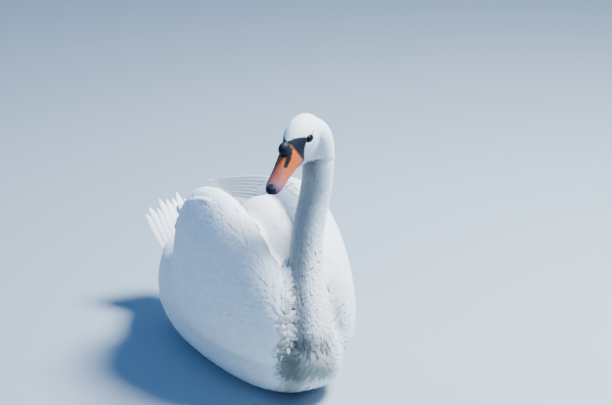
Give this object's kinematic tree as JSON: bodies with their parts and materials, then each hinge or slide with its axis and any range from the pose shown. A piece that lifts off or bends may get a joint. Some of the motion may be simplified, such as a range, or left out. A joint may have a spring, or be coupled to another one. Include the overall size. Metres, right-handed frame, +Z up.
{
  "type": "mute swan",
  "caption": "Life-size still model of a white mute swan resting on its belly, wings arched over its back, neck upright and head turned to its right.",
  "frame": {"origin": "on the floor, in the middle of the flat of the belly that the bird rests on", "axes": "+Z up, -Y towards the breast, +Y towards the tail, +X the bird's left side"},
  "size_m": [0.3406, 0.6669, 0.5864],
  "materials": {
    "white_plumage": "soft white feathers with a faint cool sheen",
    "orange_bill": "smooth horn, orange at the base and pinkish towards the tip",
    "black_horn": "black horn and bare black skin, semi-gloss",
    "dark_eye": "wet, glossy dark brown",
    "dark_web": "dark grey scaly skin, matt"
  },
  "bodies": {
    "root": {"trunk": "white_plumage", "neck_lower": "white_plumage", "neck_upper": "white_plumage", "head": "white_plumage", "wing_left": "white_plumage", "wing_right": "white_plumage", "tail": "white_plumage", "bill_upper": "orange_bill", "bill_lower": "orange_bill", "bill_knob": "black_horn", "bill_nail": "black_horn", "eye_left": "dark_eye", "eye_right": "dark_eye", "leg_left": "dark_web", "leg_right": "dark_web"}
  },
  "joints": []
}
